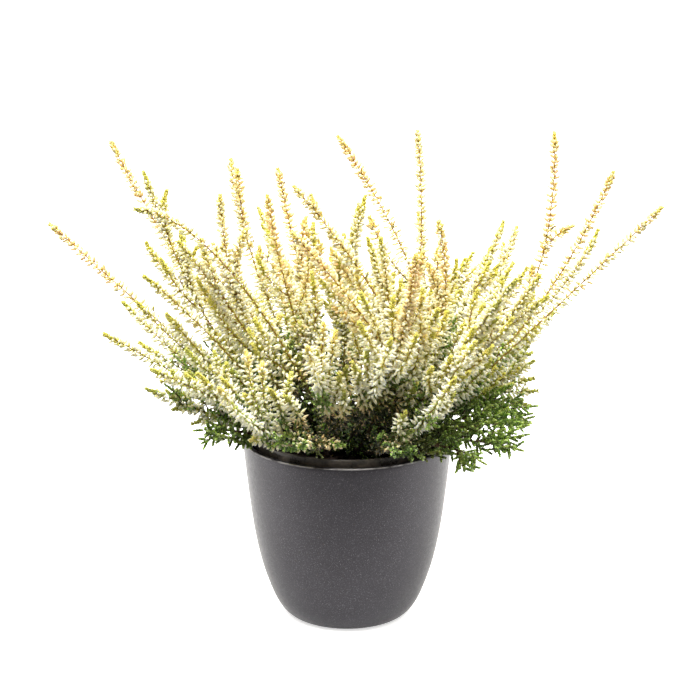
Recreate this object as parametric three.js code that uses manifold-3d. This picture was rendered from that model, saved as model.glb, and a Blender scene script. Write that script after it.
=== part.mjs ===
// Potted heather: a bushy ling heather in its grower's pot, standing in a glazed cover pot.
// Millimetres, +Z up. The origin is the centre of the cover pot's flat underside.
// The cover pot holds the grower's pot, the grower's pot holds the compost, the root crown grows out
// of the compost, and every flowering or leafy shoot grows from the end of one limb of the crown.

import * as THREE from "three";
import { mergeVertices } from "three/addons/utils/BufferGeometryUtils.js";
import Module from "manifold-3d";

// ---- Driving dimensions ----

const GAP = 0.3; // clearance between touching pieces

const COVER_POT = {
  height: 115,
  rimRadius: 65,
  wall: 4,
  floor: 7,
  footRadius: 34,
  // Outer radius at shares of the height, from the foot to the rim.
  flare: [
    [0, 34],
    [0.02, 38],
    [0.06, 42.2],
    [0.14, 47],
    [0.3, 53.3],
    [0.5, 58.2],
    [0.75, 62],
    [1, 65],
  ],
  segments: 48,
};

const GROWER_POT = {
  rimTop: 118,
  rimRadius: 57.5,
  rimBand: 9,
  rimStep: 2,
  baseRadius: 36.5,
  wall: 1,
  drainHoles: 8,
  drainRadius: 3.5,
  drainCircle: 26,
  segments: 40,
};

const COMPOST = {
  surface: 107, // height where the compost meets the grower's pot
  dome: 2, // rise from there to the middle
  pitRadius: 7, // hole that the foot of the crown grows in
  pitDepth: 26,
  segments: 32,
};

const CROWN = {
  trunkRadius: 6.4,
  trunkTop: 116,
  top: 128, // height of the middle limb's end
  edgeDrop: 9, // how much lower the outermost limbs end
  edgeRadius: 46,
  limbRootRadius: 2.6,
  limbEndRadius: 1.3,
  clearOfCompost: 5, // least height of a limb's middle line over the compost
};

const SHOOT = {
  sides: 5,
  rings: 9,
  // [share of the length, radius]: bare wood, then the envelope of the spike, then its tip.
  flowering: [
    [0, 1.2],
    [0.22, 1.0],
    [0.3, 2.6],
    [0.6, 2.8],
    [0.9, 1.8],
    [1, 0.5],
  ],
  leafy: [
    [0, 1.2],
    [0.14, 1.1],
    [0.24, 2.6],
    [0.75, 2.4],
    [1, 0.6],
  ],
};

// Each shoot: where it starts on the crown [x, y], how far its middle bends off the straight line
// [x, y, z], and where its tip is [x, y, z].
const FLOWERING_SHOOTS = [
  // left side, from the highest to the lowest
  { from: [-30, 10], bend: [-3, 0, -9], to: [-145, 30, 295] },
  { from: [-26, -3], bend: [-3, 0, -28], to: [-122, -15, 286] },
  { from: [-10, -25], bend: [-4, 0, 34], to: [-123, -80, 278] },
  { from: [-42, -2], bend: [6, 0, -6], to: [-180, -10, 253] },
  { from: [-23, -14], bend: [0, 0, 4], to: [-100, -50, 252] },
  { from: [-31, -20], bend: [-2, 0, 8], to: [-120, -62, 234] },
  { from: [-40, 12], bend: [0, 0, -9], to: [-140, 28, 194] },
  { from: [-43, -14], bend: [6, 0, -2], to: [-147, -35, 191] },
  { from: [-33, -29], bend: [5, 0, 0], to: [-115, -84, 183] },
  { from: [-40, 23], bend: [8, 0, -8], to: [-133, 60, 158] },
  { from: [-46, 5], bend: [10, 0, -7], to: [-124, -8, 148] },
  // tall middle, from left to right
  { from: [-18, 18], bend: [-10, 0, 6], to: [-73, 60, 278] },
  { from: [-20, -10], bend: [-13, 0, -8], to: [-75, -42, 278] },
  { from: [-11, 30], bend: [0, 0, 6], to: [-57, 95, 238] },
  { from: [-11, -3], bend: [-6, 0, 6], to: [-48, -14, 272] },
  { from: [-9, 10], bend: [0, 0, -3], to: [-43, 40, 276] },
  { from: [27, -12], bend: [35, 0, -22], to: [-32, -35, 282] },
  { from: [27, -32], bend: [32, 0, -19], to: [-32, -95, 268] },
  { from: [27, 22], bend: [38, -1, -26], to: [-6, 75, 289] },
  { from: [-1, 3], bend: [-5, 0, 4], to: [11, 4, 267] },
  { from: [18, 7], bend: [12, 0, -20], to: [43, 30, 302] },
  { from: [29, -4], bend: [15, -2, -10], to: [54, -40, 262] },
  { from: [6, -20], bend: [11, 0, -8], to: [19, -75, 260] },
  { from: [8, -40], bend: [5, 0, -4], to: [39, -110, 259] },
  // right side, from the middle outwards
  { from: [21, 29], bend: [0, 0, 0], to: [80, 72, 214] },
  { from: [27, 13], bend: [8, 0, 3], to: [98, 50, 240] },
  { from: [30, 36], bend: [7, 0, -13], to: [110, 110, 222] },
  { from: [36, 4], bend: [26, 0, -22], to: [126, 20, 303] },
  { from: [38, -7], bend: [8, 0, -16], to: [160, -10, 285] },
  { from: [38, 18], bend: [20, 0, 5], to: [157, 48, 235] },
  { from: [44, -10], bend: [6, 0, 5], to: [187, -35, 269] },
  { from: [31, -20], bend: [0, 0, 0], to: [98, -85, 238] },
  { from: [37, -13], bend: [4, 0, 0], to: [114, -52, 232] },
  { from: [44, 8], bend: [4, 0, 0], to: [117, 26, 156] },
  // front, leaning towards the viewer
  { from: [22, -41], bend: [2, 0, -4], to: [62, -115, 187] },
  { from: [2, -32], bend: [2, -2, 0], to: [25, -120, 212] },
  { from: [19, -24], bend: [2, 6, 0], to: [53, -86, 220] },
  { from: [30, -29], bend: [2, -2, 0], to: [74, -105, 206] },
  { from: [-6, -36], bend: [0, -2, 0], to: [-23, -122, 208] },
  { from: [-21, -34], bend: [-4, -6, -6], to: [-73, -130, 186] },
  { from: [-13, -43], bend: [0, 0, 6], to: [-30, -88, 134] },
  { from: [15, -45], bend: [0, 0, 6], to: [31, -84, 130] },
  // back, leaning away
  { from: [-24, 36], bend: [0, 2, 4], to: [-98, 148, 172] },
  { from: [-9, 44], bend: [0, 0, 4], to: [-38, 166, 180] },
  { from: [9, 44], bend: [0, 0, 4], to: [42, 166, 174] },
  { from: [22, 42], bend: [2, 2, 2], to: [92, 148, 164] },
  { from: [-32, 32], bend: [-2, 2, 4], to: [-105, 105, 195] },
  { from: [39, 28], bend: [3, 0, -8], to: [136, 104, 168] },
  { from: [2, 36], bend: [0, 2, 2], to: [6, 132, 228] },
];

const LEAFY_SHOOTS = [
  { from: [-38, -25], bend: [0, 0, 6], to: [-92, -58, 136] },
  { from: [46, -2], bend: [0, 0, 5], to: [118, 2, 133] },
  { from: [43, -17], bend: [0, 0, 7], to: [112, -38, 134] },
  { from: [40, -26], bend: [2, 0, 8], to: [104, -54, 123] },
  { from: [31, -36], bend: [3, 0, 11], to: [80, -64, 119] },
];

const COLOURS = {
  glaze: { color: 0x4a484d, roughness: 0.4, metalness: 0.5 },
  plastic: { color: 0x3a3835, roughness: 0.45, metalness: 0 },
  compost: { color: 0x1d140e, roughness: 0.95, metalness: 0 },
  wood: { color: 0x6b4630, roughness: 0.8, metalness: 0 },
  flower: { color: 0xe9e6c8, roughness: 0.6, metalness: 0 },
  leaf: { color: 0x3f6b26, roughness: 0.6, metalness: 0 },
};

// ---- Solids ----

const wasm = await Module();
wasm.setup();

/** A closed geometry as a manifold solid. */
function solidFrom(geometry) {
  const bare = geometry.clone();
  bare.deleteAttribute("normal");
  bare.deleteAttribute("uv");
  const merged = mergeVertices(bare, 1e-4);
  return new wasm.Manifold(
    new wasm.Mesh({
      numProp: 3,
      vertProperties: new Float32Array(merged.attributes.position.array),
      triVerts: new Uint32Array(merged.index.array),
    }),
  );
}

/** A manifold solid as a geometry. */
function geometryFrom(solid) {
  const mesh = solid.getMesh();
  const geometry = new THREE.BufferGeometry();
  geometry.setAttribute("position", new THREE.BufferAttribute(mesh.vertProperties, 3));
  geometry.setIndex(new THREE.BufferAttribute(mesh.triVerts, 1));
  geometry.computeVertexNormals();
  return geometry;
}

/** Turns an outline of [radius, height] pairs about the Z axis. */
function turned(outline, segments) {
  const profile = outline.map(([radius, height]) => new THREE.Vector2(radius, height));
  return new THREE.LatheGeometry(profile, segments).rotateX(Math.PI / 2);
}

/** Value at x of the straight lines through [x, value] pairs. */
function along(pairs, x) {
  const next = Math.max(1, pairs.findIndex(([at]) => at >= x));
  const [x0, v0] = pairs[next - 1];
  const [x1, v1] = pairs[next];
  return THREE.MathUtils.mapLinear(x, x0, x1, v0, v1);
}

/** A round tube along a curve, with flat ends, whose radius follows radiusAt(share). */
function tapered(curve, radiusAt, rings, sides) {
  const frames = curve.computeFrenetFrames(rings - 1, false);
  const positions = [];
  for (let ring = 0; ring < rings; ring++) {
    const share = ring / (rings - 1);
    const centre = curve.getPointAt(share);
    for (let side = 0; side < sides; side++) {
      const angle = (2 * Math.PI * side) / sides;
      const point = centre
        .clone()
        .addScaledVector(frames.normals[ring], radiusAt(share) * Math.cos(angle))
        .addScaledVector(frames.binormals[ring], radiusAt(share) * Math.sin(angle));
      positions.push(...point);
    }
  }
  const faces = [];
  for (let ring = 0; ring < rings - 1; ring++) {
    for (let side = 0; side < sides; side++) {
      const a = ring * sides + side;
      const b = ring * sides + ((side + 1) % sides);
      faces.push(a, b, b + sides, a, b + sides, a + sides);
    }
  }
  const last = (rings - 1) * sides;
  for (let side = 1; side < sides - 1; side++) {
    faces.push(0, side + 1, side);
    faces.push(last, last + side, last + side + 1);
  }
  const geometry = new THREE.BufferGeometry();
  geometry.setAttribute("position", new THREE.Float32BufferAttribute(positions, 3));
  geometry.setIndex(faces);
  geometry.computeVertexNormals();
  return geometry;
}

// ---- Cover pot ----

/** Points of the pot's flared side, moved inwards by inset, from one height to another. */
function flarePoints(inset, fromHeight, toHeight, count) {
  const { height, wall, flare } = COVER_POT;
  const side = new THREE.SplineCurve(flare.map(([share, radius]) => new THREE.Vector2(share, radius)));
  const samples = side.getPoints(200).map((point) => [point.x * (height - wall / 2), point.y]);
  return Array.from({ length: count }, (_, i) => {
    const z = THREE.MathUtils.lerp(fromHeight, toHeight, (i / (count - 1)) ** 1.5);
    return [along(samples, z) - inset, z];
  });
}

function coverPot() {
  const { height, rimRadius, wall, floor, footRadius } = COVER_POT;
  const lip = wall / 2;
  const outside = flarePoints(0, 0.8, height - lip, 10);
  const inside = flarePoints(wall, floor + 3, height - lip, 6).reverse();
  const rim = Array.from({ length: 3 }, (_, i) => {
    const angle = ((i + 1) * Math.PI) / 4;
    return [rimRadius - lip + lip * Math.cos(angle), height - lip + lip * Math.sin(angle)];
  });
  const floorEdge = inside.at(-1)[0] - 2;
  const outline = [
    [0, 0],
    [footRadius, 0],
    ...outside,
    ...rim,
    ...inside,
    [floorEdge, floor],
    [0, floor],
  ];
  return turned(outline, COVER_POT.segments);
}

// ---- Grower's pot ----

const growerFloor = COVER_POT.floor + GAP;

/** Outer radius of the grower's pot's tapered wall at a height. */
function growerRadius(z) {
  const { rimTop, rimRadius, rimStep, baseRadius } = GROWER_POT;
  return THREE.MathUtils.mapLinear(z, growerFloor, rimTop, baseRadius, rimRadius - rimStep);
}

function growerPot() {
  const { rimTop, rimRadius, rimBand, baseRadius, wall, segments } = GROWER_POT;
  const { drainHoles, drainRadius, drainCircle } = GROWER_POT;
  const bandFoot = rimTop - rimBand;
  const shell = turned(
    [
      [0, growerFloor],
      [baseRadius, growerFloor],
      [growerRadius(bandFoot), bandFoot],
      [rimRadius, bandFoot + 1],
      [rimRadius, rimTop - 0.5],
      [rimRadius - 0.5, rimTop],
      [rimRadius - wall - 0.5, rimTop],
      [rimRadius - wall - 1, rimTop - 1],
      [growerRadius(bandFoot) - wall, bandFoot - 1],
      [baseRadius - wall, growerFloor + wall],
      [0, growerFloor + wall],
    ],
    segments,
  );
  let pot = solidFrom(shell);
  for (let hole = 0; hole < drainHoles; hole++) {
    const angle = (2 * Math.PI * hole) / drainHoles;
    const drill = new THREE.CylinderGeometry(drainRadius, drainRadius, 4 * wall, 12)
      .rotateX(Math.PI / 2)
      .translate(drainCircle * Math.cos(angle), drainCircle * Math.sin(angle), growerFloor);
    pot = pot.subtract(solidFrom(drill));
  }
  return geometryFrom(pot);
}

// ---- Compost ----

function compost() {
  const { surface, dome, pitRadius, pitDepth, segments } = COMPOST;
  const bottom = growerFloor + GROWER_POT.wall + GAP;
  const clear = GROWER_POT.wall + GAP;
  const edge = growerRadius(surface) - clear - 0.6;
  const top = Array.from({ length: 5 }, (_, i) => {
    const radius = THREE.MathUtils.lerp(edge, pitRadius, i / 4);
    return [radius, surface + dome * (1 - (radius / edge) ** 2)];
  });
  const outline = [
    [0, bottom],
    [growerRadius(bottom) - clear - 0.4, bottom],
    ...top,
    [pitRadius, surface + dome - pitDepth],
    [0, surface + dome - pitDepth],
  ];
  return turned(outline, segments);
}

// ---- Crown and shoots ----

/** Where a limb of the crown ends and its shoot starts. */
function limbEnd([x, y]) {
  const { top, edgeDrop, edgeRadius } = CROWN;
  const share = Math.hypot(x, y) / edgeRadius;
  return new THREE.Vector3(x, y, top - edgeDrop * share ** 2);
}

/** The line that a shoot grows along, from its limb's end to its tip. */
function shootCurve({ from, bend, to }) {
  const start = limbEnd(from);
  const end = new THREE.Vector3(...to);
  const control = start.clone().lerp(end, 0.5).addScaledVector(new THREE.Vector3(...bend), 2);
  const away = control.clone().sub(start).normalize();
  return new THREE.QuadraticBezierCurve3(start.addScaledVector(away, GAP), control, end);
}

/** The line of the limb that carries a shoot: out of the trunk, then turning into the shoot. */
function limbCurve(shoot) {
  const end = limbEnd(shoot.from);
  const away = shootCurve(shoot).getTangent(0);
  const lowest = COMPOST.surface + COMPOST.dome + CROWN.clearOfCompost;
  const start = new THREE.Vector3(0, 0, lowest);
  const reach = Math.min(0.4 * end.distanceTo(start), (end.z - lowest) / away.z);
  return new THREE.QuadraticBezierCurve3(start, end.clone().addScaledVector(away, -reach), end);
}

function rootCrown(shoots) {
  const { trunkRadius, trunkTop, limbRootRadius, limbEndRadius } = CROWN;
  const foot = COMPOST.surface + COMPOST.dome - COMPOST.pitDepth + GAP;
  const trunk = turned(
    [
      [0, foot],
      [trunkRadius - 2.4, foot],
      [trunkRadius, foot + 6],
      [trunkRadius, trunkTop - 4],
      [trunkRadius - 2, trunkTop],
      [0, trunkTop + 1],
    ],
    10,
  );
  const radiusAt = (share) => THREE.MathUtils.lerp(limbRootRadius, limbEndRadius, share);
  const limbs = shoots.map((shoot) => solidFrom(tapered(limbCurve(shoot), radiusAt, 4, SHOOT.sides)));
  return geometryFrom(limbs.reduce((crown, limb) => crown.add(limb), solidFrom(trunk)));
}

function shootGeometry(shoot, outline) {
  const radiusAt = (share) => along(outline, share);
  return tapered(shootCurve(shoot), radiusAt, SHOOT.rings, SHOOT.sides);
}

// ---- Assembly ----

const heather = new THREE.Group();

function place(name, geometry, look) {
  const mesh = new THREE.Mesh(geometry, new THREE.MeshStandardMaterial(look));
  mesh.name = name;
  heather.add(mesh);
}

const numbered = (word, index) => `${word}_${String(index + 1).padStart(2, "0")}`;

place("cover_pot", coverPot(), COLOURS.glaze);
place("grower_pot", growerPot(), COLOURS.plastic);
place("potting_compost", compost(), COLOURS.compost);
place("root_crown", rootCrown([...FLOWERING_SHOOTS, ...LEAFY_SHOOTS]), COLOURS.wood);
FLOWERING_SHOOTS.forEach((shoot, i) =>
  place(numbered("flowering_shoot", i), shootGeometry(shoot, SHOOT.flowering), COLOURS.flower),
);
LEAFY_SHOOTS.forEach((shoot, i) =>
  place(numbered("leafy_shoot", i), shootGeometry(shoot, SHOOT.leafy), COLOURS.leaf),
);

export default heather;
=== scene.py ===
"""Looks of the potted heather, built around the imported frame.

Everything is in the frame's own axes: +Z up, the plant seen from -Y, the origin at the centre of
the cover pot's flat underside. Lengths are in metres, or in millimetres where a docstring says so.
"""

import logging
import math
from collections.abc import Callable, Sequence
from dataclasses import astuple, dataclass, field
from enum import Enum
from functools import cache
from itertools import accumulate, pairwise
from random import Random
from typing import NamedTuple

import bmesh
import bpy
from mathutils import Matrix, Vector, noise


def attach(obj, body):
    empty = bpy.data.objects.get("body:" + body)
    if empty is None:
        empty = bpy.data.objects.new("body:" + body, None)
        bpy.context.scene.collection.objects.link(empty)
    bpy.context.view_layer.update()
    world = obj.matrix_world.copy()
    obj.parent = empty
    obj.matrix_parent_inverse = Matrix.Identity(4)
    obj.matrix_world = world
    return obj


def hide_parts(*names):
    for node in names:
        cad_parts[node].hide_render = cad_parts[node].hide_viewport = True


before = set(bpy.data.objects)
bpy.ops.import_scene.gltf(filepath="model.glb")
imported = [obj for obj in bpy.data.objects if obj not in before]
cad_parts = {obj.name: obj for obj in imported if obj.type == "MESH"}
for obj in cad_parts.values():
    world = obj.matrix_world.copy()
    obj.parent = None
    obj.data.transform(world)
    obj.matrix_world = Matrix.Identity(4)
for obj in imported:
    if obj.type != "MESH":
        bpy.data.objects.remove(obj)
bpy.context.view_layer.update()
LOG = logging.getLogger("heather")

MM = 0.001
SAME_PLACE = 0.00001
UP = Vector((0.0, 0.0, 1.0))
# centre of the heart of the bush, round which shade is painted into buds and leaves
HEART = Vector((0.0, -0.03, 0.125))
BODY = "root"
TINT = "tint"

Colour = tuple[float, float, float, float]
Pair = tuple[float, float]
Triple = tuple[float, float, float]
Shape = bmesh.types.BMesh
Socket = bpy.types.NodeSocket


def srgb(red: int, green: int, blue: int) -> Colour:
    """A screen colour from 0 to 255 as the linear colour that the nodes take."""
    shares = [value / 255 for value in (red, green, blue)]
    return (*(s / 12.92 if s <= 0.04045 else ((s + 0.055) / 1.055) ** 2.4 for s in shares), 1.0)


def blend(first: float, second: float, share: float) -> float:
    """The value that share of the way from first to second."""
    return first + (second - first) * share


def clamp(value: float, low: float = 0.0, high: float = 1.0) -> float:
    """The value, kept from low to high."""
    return max(low, min(high, value))


# ---------------------------------------------------------------- finishes


class NodeSheet:
    """The nodes and links of one material, or of the world, around its own shader."""

    SHARE, VALUE_A, VALUE_B, COLOUR_A, COLOUR_B = 0, 2, 3, 6, 7
    MIXED_VALUE, MIXED_COLOUR = 0, 2

    def __init__(self, owner: bpy.types.Material | bpy.types.World, shader: str) -> None:
        """Switches the owner's nodes on.

        Args:
            owner: the material or the world.
            shader: the name of its shader's node.
        """
        owner.use_nodes = True
        self.owner = owner
        self.tree = owner.node_tree
        self.shader = self.tree.nodes[shader]

    def feed(self, socket: Socket, value: object) -> None:
        """Links a socket to another socket, or sets its own value.

        Args:
            socket: the input that is fed.
            value: the other socket, or the value.
        """
        if isinstance(value, Socket):
            self.tree.links.new(value, socket)
        else:
            socket.default_value = value

    def add(self, kind: str, output: str | int, inputs: dict | None = None, **settings: str) -> Socket:
        """Adds a node.

        Args:
            kind: what follows ShaderNode in its type.
            output: the output that is wanted.
            inputs: a socket or a value for each input that isn't left as it is.
            settings: its own settings.

        Returns:
            The output's socket.
        """
        node = self.tree.nodes.new(f"ShaderNode{kind}")
        for name, value in settings.items():
            setattr(node, name, value)
        for name, value in (inputs or {}).items():
            self.feed(node.inputs[name], value)
        return node.outputs[output]

    def surface(self, **inputs: object) -> None:
        """Sets inputs of the shader, named with _ for each space."""
        for name, value in inputs.items():
            self.feed(self.shader.inputs[name.replace("_", " ")], value)

    def coordinates(self, *stretch: float) -> Socket:
        """Object coordinates, scaled along the three axes where scales are given."""
        place = self.add("TexCoord", "Object")
        return self.add("Mapping", "Vector", {"Vector": place, "Scale": stretch}) if stretch else place

    def part(self, vector: Socket, axis: str) -> Socket:
        """A vector's X, Y or Z."""
        return self.add("SeparateXYZ", axis, {"Vector": vector})

    def noise(self, vector: Socket, scale: float, detail: float = 2.0, rough: float = 0.5) -> Socket:
        """Noise from 0 to 1 with scale waves per metre and detail octaves of finer noise."""
        inputs = {"Vector": vector, "Scale": scale, "Detail": detail, "Roughness": rough}
        return self.add("TexNoise", "Fac", inputs)

    def ramp(self, value: Socket, *stops: tuple[float, Colour]) -> Socket:
        """A colour ramp.

        Args:
            value: what the ramp reads.
            stops: place and colour of each stop.

        Returns:
            The colour socket.
        """
        ramped = self.add("ValToRGB", "Color", {"Fac": value})
        elements = ramped.node.color_ramp.elements
        while len(elements) < len(stops):
            elements.new(0.5)
        for element, (place, colour) in zip(elements, stops):
            element.position = place
            element.color = colour
        return ramped

    def span(self, value: Socket, source: Pair, target: Pair = (0.0, 1.0), **settings: str) -> Socket:
        """The value mapped from one range to another, and kept inside it."""
        names = ("Value", "From Min", "From Max", "To Min", "To Max")
        return self.add("MapRange", "Result", dict(zip(names, (value, *source, *target))), **settings)

    def mix(self, share: object, first: object, second: object) -> Socket:
        """A mix of two colours by share."""
        inputs = {self.SHARE: share, self.COLOUR_A: first, self.COLOUR_B: second}
        return self.add("Mix", self.MIXED_COLOUR, inputs, data_type="RGBA")

    def combine(self, operation: str, first: object, second: object) -> Socket:
        """Two values joined by a mathematical operation."""
        return self.add("Math", "Value", {0: first, 1: second}, operation=operation)

    def tint(self) -> Sequence[Socket]:
        """The three numbers that each copy of a bud, leaf or stem carries."""
        colour = self.add("Attribute", "Color", attribute_name=TINT)
        return self.add("SeparateColor", "Red", {"Color": colour}).node.outputs[:]

    def bump(self, height: Socket, depth: float, strength: float) -> None:
        """Bumps the shader's normal by a height that is depth metres deep."""
        inputs = {"Strength": strength, "Distance": depth, "Height": height}
        self.surface(Normal=self.add("Bump", "Normal", inputs))


class Finish(NodeSheet):
    """A material. Each kind has its own name and colours, and draws its own nodes."""

    NAME = ""

    def __init__(self) -> None:
        """Makes the material."""
        super().__init__(bpy.data.materials.new(self.NAME), "Principled BSDF")
        self.draw()

    def draw(self) -> None:
        """Draws the nodes."""
        raise NotImplementedError


class GlazeFinish(Finish):
    """Satin dark grey lacquer with a fine metallic flake over a faintly pebbled body, and a painted
    highlight in strokes along the lip.
    """

    NAME = "satin_grey_lacquer"
    DARK = srgb(43, 41, 45)
    LIGHT = srgb(53, 51, 56)
    FLAKE = srgb(140, 137, 144)
    # light grey painted highlight for the lip, and the height and radius of the band it lies in
    RIM_HIGHLIGHT = srgb(176, 173, 174)
    RIM_HIGHLIGHT_HEIGHT: Pair = (0.1138, 0.1144)
    RIM_HIGHLIGHT_RADIUS: Pair = (0.0642, 0.0646)

    def painted_rim_highlight(self) -> Socket:
        """How far a painted highlight lightens the lacquer, in short strokes round the lip's outer edge.

        Returns:
            The share, from 0 to 1.
        """
        flattened = self.coordinates(1, 1, 0.0001)
        reach = self.add("VectorMath", "Value", {0: flattened}, operation="LENGTH")
        high = self.span(self.part(self.coordinates(), "Z"), self.RIM_HIGHLIGHT_HEIGHT)
        highlight_band = self.combine("MULTIPLY", high, self.span(reach, self.RIM_HIGHLIGHT_RADIUS))
        strokes = self.noise(self.coordinates(1, 1, 0.2), 150, 4.0)
        return self.combine("MULTIPLY", highlight_band, self.span(strokes, (0.34, 0.62), (0.15, 0.8)))

    def draw(self) -> None:
        """Draws cloudy lacquer with sparks of flake, a painted highlight in strokes along the lip, and
        pebbles in its gloss.
        """
        place = self.coordinates()
        body = self.mix(self.noise(place, 45, 4.0, 0.6), self.DARK, self.LIGHT)
        grain = self.noise(place, 2600, 1.0)
        lacquer = self.mix(self.span(grain, (0.62, 0.8), (0.0, 0.6)), body, self.FLAKE)
        self.surface(
            # the lip's strokes are a painted highlight, mixed into the base colour
            Base_Color=self.mix(self.painted_rim_highlight(), lacquer, self.RIM_HIGHLIGHT),
            Metallic=0.7,
            Specular_Tint=(0.7, 0.7, 0.7, 1.0),
            Roughness=self.span(self.noise(place, 420, 3.0), (0.3, 0.7), (0.36, 0.46)),
            Coat_Weight=0.15,
            Coat_Roughness=0.22,
        )
        self.bump(self.combine("ADD", self.noise(place, 900), grain), 0.00006, 0.35)


class PlasticFinish(Finish):
    """Thin dark moulded plastic of the grower's pot, dusty with dried compost."""

    NAME = "grower_plastic"
    PLASTIC = srgb(50, 47, 44)
    DUST = srgb(118, 108, 96)

    def draw(self) -> None:
        """Draws smears of dust, which also dull the gloss."""
        place = self.coordinates()
        smear = self.noise(place, 110, 5.0, 0.7)
        self.surface(
            Base_Color=self.mix(self.span(smear, (0.42, 0.72), (0.0, 0.6)), self.PLASTIC, self.DUST),
            Roughness=self.span(smear, (0.35, 0.7), (0.22, 0.5)),
        )
        self.bump(self.noise(place, 700), 0.00008, 0.4)


class CompostFinish(Finish):
    """Dark moist peat with paler fibres and crumbs."""

    NAME = "moist_peat"
    PEAT = srgb(24, 17, 12)
    CRUMB = srgb(62, 44, 30)
    FIBRE = srgb(118, 88, 58)

    def draw(self) -> None:
        """Draws patches of crumbs with thin strands of fibre."""
        place = self.coordinates()
        patch = self.noise(place, 380, 6.0, 0.7)
        strand = self.span(self.noise(place, 1500, 3.0, 0.8), (0.66, 0.8), (0.0, 0.8))
        self.surface(
            Base_Color=self.mix(strand, self.mix(patch, self.PEAT, self.CRUMB), self.FIBRE),
            Roughness=self.span(patch, (0.3, 0.7), (0.75, 0.98)),
        )
        self.bump(patch, 0.0009, 0.9)


class BarkFinish(Finish):
    """Stem bark: dark brown and cracked at the foot, orange brown and smoother towards the tip."""

    NAME = "heather_bark"
    OLD = srgb(30, 22, 16)
    GREY = srgb(62, 48, 36)
    YOUNG = srgb(182, 122, 78)
    TENDER = srgb(172, 150, 68)

    def draw(self) -> None:
        """Draws cracks along the stem, and its colours by its height in the plant."""
        _, shade, height = self.tint()
        crack = self.noise(self.coordinates(1, 1, 0.35), 1400, 5.0, 0.7)
        foot = self.mix(crack, self.OLD, self.GREY)
        top = self.mix(shade, self.YOUNG, self.TENDER)
        self.surface(
            Base_Color=self.mix(height, foot, top),
            Roughness=self.span(crack, (0.3, 0.7), (0.6, 0.85)),
        )
        self.bump(crack, 0.00025, 0.8)


class PetalFinish(Finish):
    """Closed buds: white with a green foot when ripe, lemon to tan when young, and painted dark olive
    with shade in the heart of the bush.
    """

    NAME = "heather_petal"
    WHITE = srgb(253, 248, 214)
    CREAM = srgb(249, 237, 184)
    BLUSH = srgb(238, 208, 158)
    # painted shade: the dark olive that buds take in the heart of the bush
    HEART_SHADE = srgb(52, 56, 30)
    LEMON = srgb(252, 241, 194)
    GOLD = srgb(250, 226, 168)
    TAN = srgb(226, 177, 128)
    FOOT = srgb(132, 146, 40)
    LIME_FOOT = srgb(206, 194, 88)
    GOLD_FOOT = srgb(214, 160, 84)

    def draw(self) -> None:
        """Draws petals by the bud's shade and youth, the green of the calyx at its foot, and painted
        shade at the ramp's dark end.
        """
        along, shade, young = self.tint()
        mottle = self.noise(self.coordinates(), 700)
        tone = self.combine("MULTIPLY", shade, self.span(mottle, (0.3, 0.6), (0.8, 1.0)))
        # the last stop is painted shade, for buds in the heart of the bush
        ripe_stops = ((0.3, self.WHITE), (0.62, self.CREAM), (0.8, self.BLUSH), (0.9, self.HEART_SHADE))
        young_stops = ((0.2, self.LEMON), (0.55, self.GOLD), (0.95, self.TAN))
        petal = self.mix(young, self.ramp(tone, *ripe_stops), self.ramp(tone, *young_stops))
        young_foot = self.mix(tone, self.LIME_FOOT, self.GOLD_FOOT)
        foot = self.mix(self.span(young, (0.0, 0.25)), self.FOOT, young_foot)
        self.surface(
            Base_Color=self.mix(self.span(along, (0.02, 0.4)), foot, petal),
            Roughness=self.span(mottle, (0.3, 0.7), (0.42, 0.6)),
            Subsurface_Weight=0.75,
            Subsurface_Radius=(1.0, 0.9, 0.6),
            Subsurface_Scale=0.0018,
        )
        self.bump(mottle, 0.00008, 0.5)


class LeafFinish(Finish):
    """Scale leaves: deep green below and as painted shade in the heart of the bush, lime to olive gold
    on the growing tips.
    """

    NAME = "heather_leaf"
    # deep green, which also serves as painted shade for the leaves in the heart of the bush
    DEEP_GREEN_AND_SHADE = srgb(18, 38, 7)
    GREEN = srgb(164, 220, 86)
    LIME = srgb(214, 208, 88)
    GOLD = srgb(251, 222, 134)
    # pale green of the leaf points, also a painted highlight on the edges of the scale leaves
    POINT = srgb(198, 226, 124)

    def draw(self) -> None:
        """Draws the greens by shade and light, and pale points on the darker leaves, which also paint a
        highlight on the edges of the scale leaves.
        """
        along, shade, light = self.tint()
        mottle = self.noise(self.coordinates(), 900, 3.0)
        low = self.mix(shade, self.DEEP_GREEN_AND_SHADE, self.GREEN)
        high = self.mix(shade, self.LIME, self.GOLD)
        # partly the leaves' paler points, partly a painted highlight on scale edges that leaves the
        # waists darker
        end = self.combine("SUBTRACT", self.span(along, (0.5, 1.0)), light)
        bright = self.span(shade, (0.0, 1.0), (0.1, 0.9))
        pale = self.combine("MULTIPLY", self.span(end, (0.0, 1.0)), bright)
        self.surface(
            Base_Color=self.mix(pale, self.mix(light, low, high), self.POINT),
            Roughness=self.span(mottle, (0.3, 0.7), (0.38, 0.6)),
            Subsurface_Weight=0.55,
            Subsurface_Radius=(0.9, 1.0, 0.3),
            Subsurface_Scale=0.0014,
        )
        self.bump(mottle, 0.0001, 0.5)


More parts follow.
